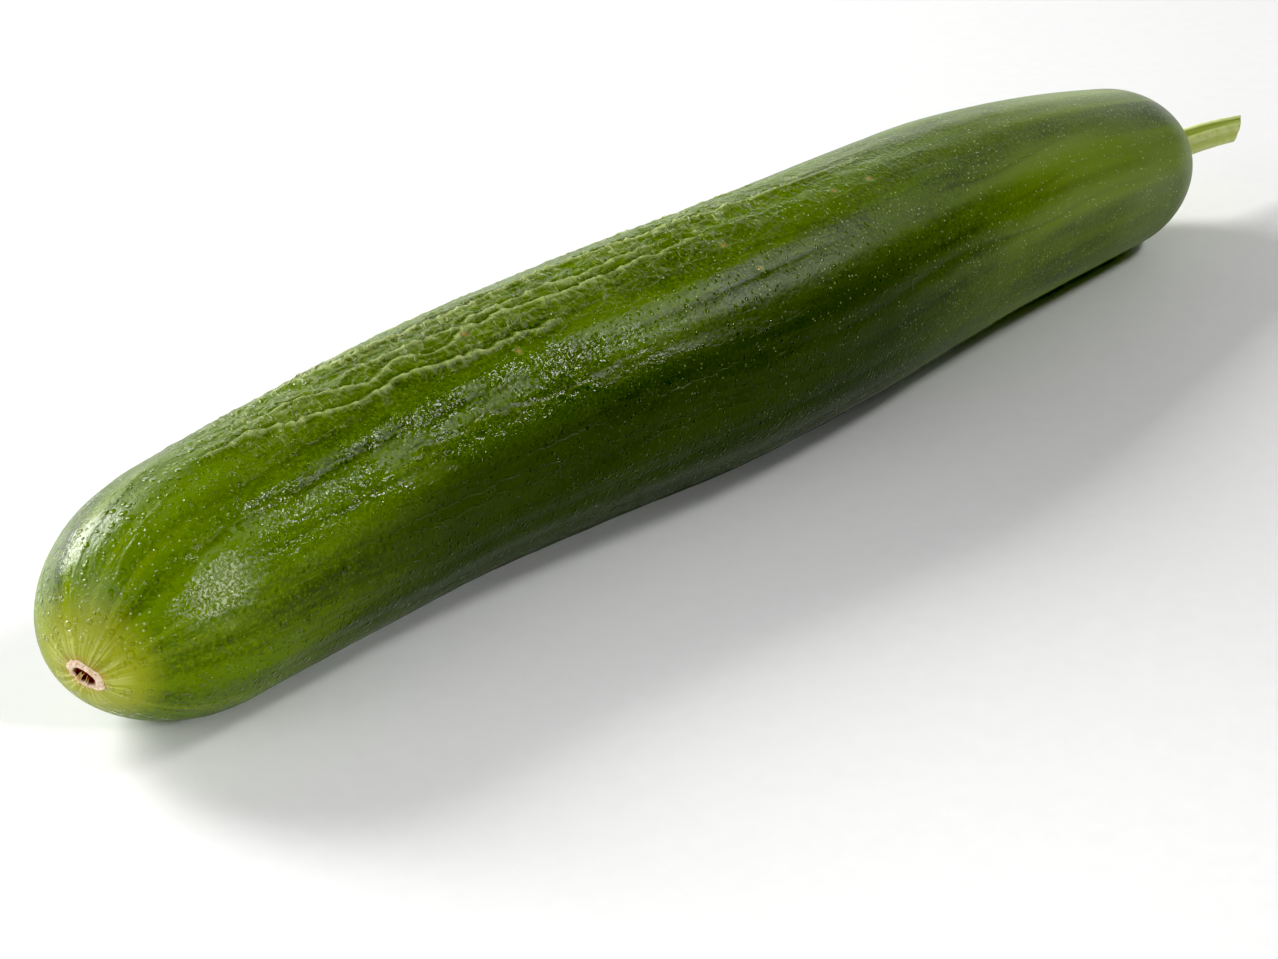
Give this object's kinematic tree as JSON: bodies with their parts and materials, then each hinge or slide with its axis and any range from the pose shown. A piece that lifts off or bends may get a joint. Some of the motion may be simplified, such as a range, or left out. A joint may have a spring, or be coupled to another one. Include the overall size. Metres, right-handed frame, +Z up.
{
  "type": "cucumber",
  "caption": "Whole long greenhouse cucumber lying on its belly, with a short cut stem at one end and a dry blossom scar at the other; loose fresh vegetable for display or packing.",
  "frame": {"origin": "middle of the underside of the whole cucumber's box, stem included, on the surface it lies on", "axes": "+X along the fruit towards the stem end, +Z up"},
  "size_m": [0.3582, 0.0532, 0.0482],
  "materials": {
    "skin": "waxy green cucumber skin, moist, finely ribbed and wrinkled, paler at both ends",
    "stalk": "pale yellow-green stalk, satin, with a browned cut end",
    "cork": "dry, pale tan cork with a dark red-brown pit"
  },
  "bodies": {
    "root": {"fruit": "skin", "stem": "stalk", "blossom_scar": "cork"}
  },
  "joints": []
}
